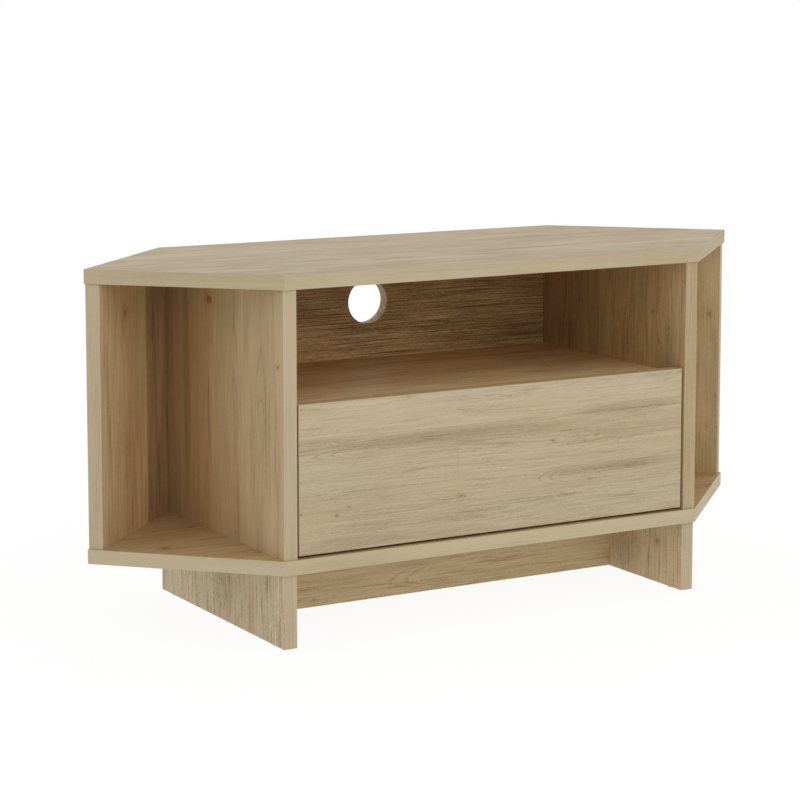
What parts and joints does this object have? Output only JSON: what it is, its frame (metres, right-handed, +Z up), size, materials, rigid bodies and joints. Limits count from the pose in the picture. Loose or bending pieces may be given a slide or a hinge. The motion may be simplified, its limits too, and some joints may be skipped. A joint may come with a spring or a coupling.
{
  "type": "corner tv cabinet",
  "caption": "Six-sided corner TV cabinet of oak laminate with open side niches, an open bay with a cable hole, a drawer on runners and board legs.",
  "frame": {"origin": "on the floor, under the middle of the six-sided top", "axes": "+X along the cabinet to the right, +Y to the back, +Z up"},
  "size_m": [0.96, 0.3574, 0.4535],
  "materials": {
    "oak_laminate": "greige oak print on melamine, fine grain relief, matt",
    "drawer_board": "plain light melamine on chipboard, matt",
    "hardboard": "thin hardboard, smooth painted face",
    "zinc_fitting": "zinc-plated",
    "runner_steel": "cold-rolled steel, bright zinc",
    "ball_steel": "polished balls in a thin steel cage",
    "glide_plastic": "undyed milky plastic"
  },
  "bodies": {
    "cabinet": {"top_panel": "oak_laminate", "bottom_panel": "oak_laminate", "left_divider": "oak_laminate", "right_divider": "oak_laminate", "left_corner_panel": "oak_laminate", "right_corner_panel": "oak_laminate", "back_panel": "oak_laminate", "shelf": "oak_laminate", "left_leg": "oak_laminate", "right_leg": "oak_laminate", "plinth_rail": "oak_laminate", "cam_lock_left_corner_upper": "zinc_fitting", "cam_lock_left_corner_lower": "zinc_fitting", "cam_lock_right_corner_upper": "zinc_fitting", "cam_lock_right_corner_lower": "zinc_fitting", "cam_lock_back_left_top": "zinc_fitting", "cam_lock_back_left_high": "zinc_fitting", "cam_lock_back_left_low": "zinc_fitting", "cam_lock_back_right_top": "zinc_fitting", "cam_lock_back_right_high": "zinc_fitting", "cam_lock_back_right_low": "zinc_fitting", "cam_lock_shelf_left_front": "zinc_fitting", "cam_lock_shelf_left_rear": "zinc_fitting", "cam_lock_shelf_right_front": "zinc_fitting", "cam_lock_shelf_right_rear": "zinc_fitting", "cam_lock_left_divider_front": "zinc_fitting", "cam_lock_left_divider_rear": "zinc_fitting", "cam_lock_right_divider_front": "zinc_fitting", "cam_lock_right_divider_rear": "zinc_fitting", "cam_lock_rail_left": "zinc_fitting", "cam_lock_rail_right": "zinc_fitting", "left_leg_screw_front": "zinc_fitting", "left_leg_screw_rear": "zinc_fitting", "right_leg_screw_front": "zinc_fitting", "right_leg_screw_rear": "zinc_fitting", "left_glide_front": "glide_plastic", "left_glide_rear": "glide_plastic", "right_glide_front": "glide_plastic", "right_glide_rear": "glide_plastic", "left_runner_cabinet_member": "runner_steel", "right_runner_cabinet_member": "runner_steel"},
    "drawer": {"drawer_front": "oak_laminate", "drawer_left_side": "drawer_board", "drawer_right_side": "drawer_board", "drawer_back": "drawer_board", "drawer_bottom": "hardboard", "cam_lock_drawer_left_lower": "zinc_fitting", "cam_lock_drawer_left_upper": "zinc_fitting", "cam_lock_drawer_right_lower": "zinc_fitting", "cam_lock_drawer_right_upper": "zinc_fitting", "left_runner_drawer_member": "runner_steel", "right_runner_drawer_member": "runner_steel"},
    "left_runner_middle": {"left_runner_middle_member": "runner_steel"},
    "left_runner_outer_cage": {"left_runner_outer_cage": "ball_steel"},
    "left_runner_inner_cage": {"left_runner_inner_cage": "ball_steel"},
    "right_runner_middle": {"right_runner_middle_member": "runner_steel"},
    "right_runner_outer_cage": {"right_runner_outer_cage": "ball_steel"},
    "right_runner_inner_cage": {"right_runner_inner_cage": "ball_steel"}
  },
  "joints": [
    {"name": "drawer_slide", "type": "slide", "parent": "cabinet", "child": "drawer", "axis": [0, -1, 0], "range_m": [0, 0.3]},
    {"name": "left_runner_middle_slide", "type": "slide", "parent": "cabinet", "child": "left_runner_middle", "axis": [0, -1, 0], "range_m": [0, 0.15]},
    {"name": "left_runner_outer_cage_slide", "type": "slide", "parent": "cabinet", "child": "left_runner_outer_cage", "axis": [0, -1, 0], "range_m": [0, 0.075]},
    {"name": "left_runner_inner_cage_slide", "type": "slide", "parent": "cabinet", "child": "left_runner_inner_cage", "axis": [0, -1, 0], "range_m": [0, 0.225]},
    {"name": "right_runner_middle_slide", "type": "slide", "parent": "cabinet", "child": "right_runner_middle", "axis": [0, -1, 0], "range_m": [0, 0.15]},
    {"name": "right_runner_outer_cage_slide", "type": "slide", "parent": "cabinet", "child": "right_runner_outer_cage", "axis": [0, -1, 0], "range_m": [0, 0.075]},
    {"name": "right_runner_inner_cage_slide", "type": "slide", "parent": "cabinet", "child": "right_runner_inner_cage", "axis": [0, -1, 0], "range_m": [0, 0.225]}
  ],
  "couplings": [
    {"joint": "left_runner_middle_slide", "follows": "drawer_slide", "ratio": 0.5},
    {"joint": "left_runner_outer_cage_slide", "follows": "drawer_slide", "ratio": 0.25},
    {"joint": "left_runner_inner_cage_slide", "follows": "drawer_slide", "ratio": 0.75},
    {"joint": "right_runner_middle_slide", "follows": "drawer_slide", "ratio": 0.5},
    {"joint": "right_runner_outer_cage_slide", "follows": "drawer_slide", "ratio": 0.25},
    {"joint": "right_runner_inner_cage_slide", "follows": "drawer_slide", "ratio": 0.75}
  ]
}
